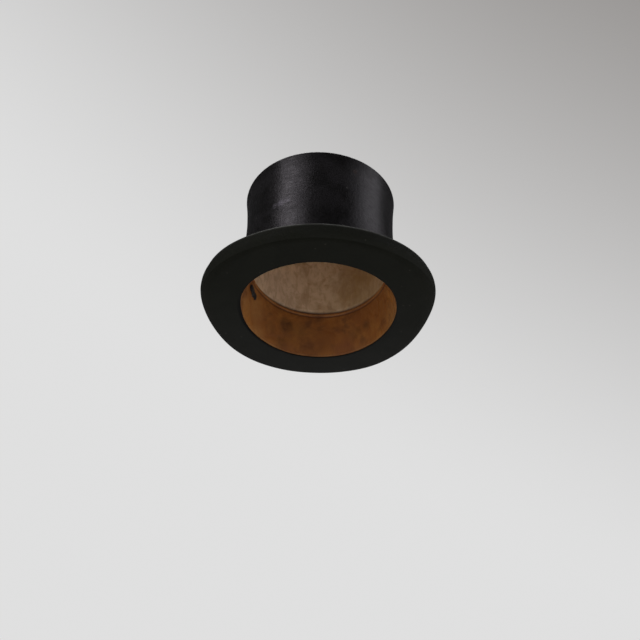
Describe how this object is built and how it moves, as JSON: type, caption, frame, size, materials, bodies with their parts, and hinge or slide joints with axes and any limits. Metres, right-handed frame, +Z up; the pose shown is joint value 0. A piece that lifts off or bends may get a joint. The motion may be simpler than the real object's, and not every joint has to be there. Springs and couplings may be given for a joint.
{
  "type": "top hat",
  "caption": "Rigid silk plush top hat with a waisted crown, curled and ribbon-bound brim, ribbon band, leather sweatband and silk lining; worn on the head or stood on its brim.",
  "frame": {"origin": "under the middle of the hat, on the surface that the front and back of the brim stand on", "axes": "+Z up through the crown; -Y towards the front of the hat; +X towards the wearer's left"},
  "size_m": [0.2508, 0.2904, 0.14],
  "materials": {
    "black_silk_plush": "brushed silk pile with a soft lustre",
    "black_wool_cloth": "matt woven wool",
    "black_grosgrain": "ribbed silk ribbon",
    "shellacked_cloth": "stiffened, varnished muslin",
    "tan_leather": "worn, stained calf",
    "cream_silk": "aged satin",
    "cane": "split cane"
  },
  "bodies": {
    "root": {"crown_side_shell": "shellacked_cloth", "crown_tip_shell": "shellacked_cloth", "brim_shell": "shellacked_cloth", "joint_strip": "shellacked_cloth", "crown_side_plush": "black_silk_plush", "crown_tip_plush": "black_silk_plush", "brim_top_plush": "black_silk_plush", "under_brim_cloth": "black_wool_cloth", "brim_binding": "black_grosgrain", "hat_band": "black_grosgrain", "hat_band_bow_front": "black_grosgrain", "hat_band_bow_back": "black_grosgrain", "hat_band_knot": "black_grosgrain", "sweatband": "tan_leather", "sweatband_reed": "cane", "reed_casing": "black_wool_cloth", "sweatband_bow_front": "black_grosgrain", "sweatband_bow_back": "black_grosgrain", "sweatband_knot": "black_grosgrain", "side_lining": "cream_silk", "tip_lining": "cream_silk"}
  },
  "joints": []
}
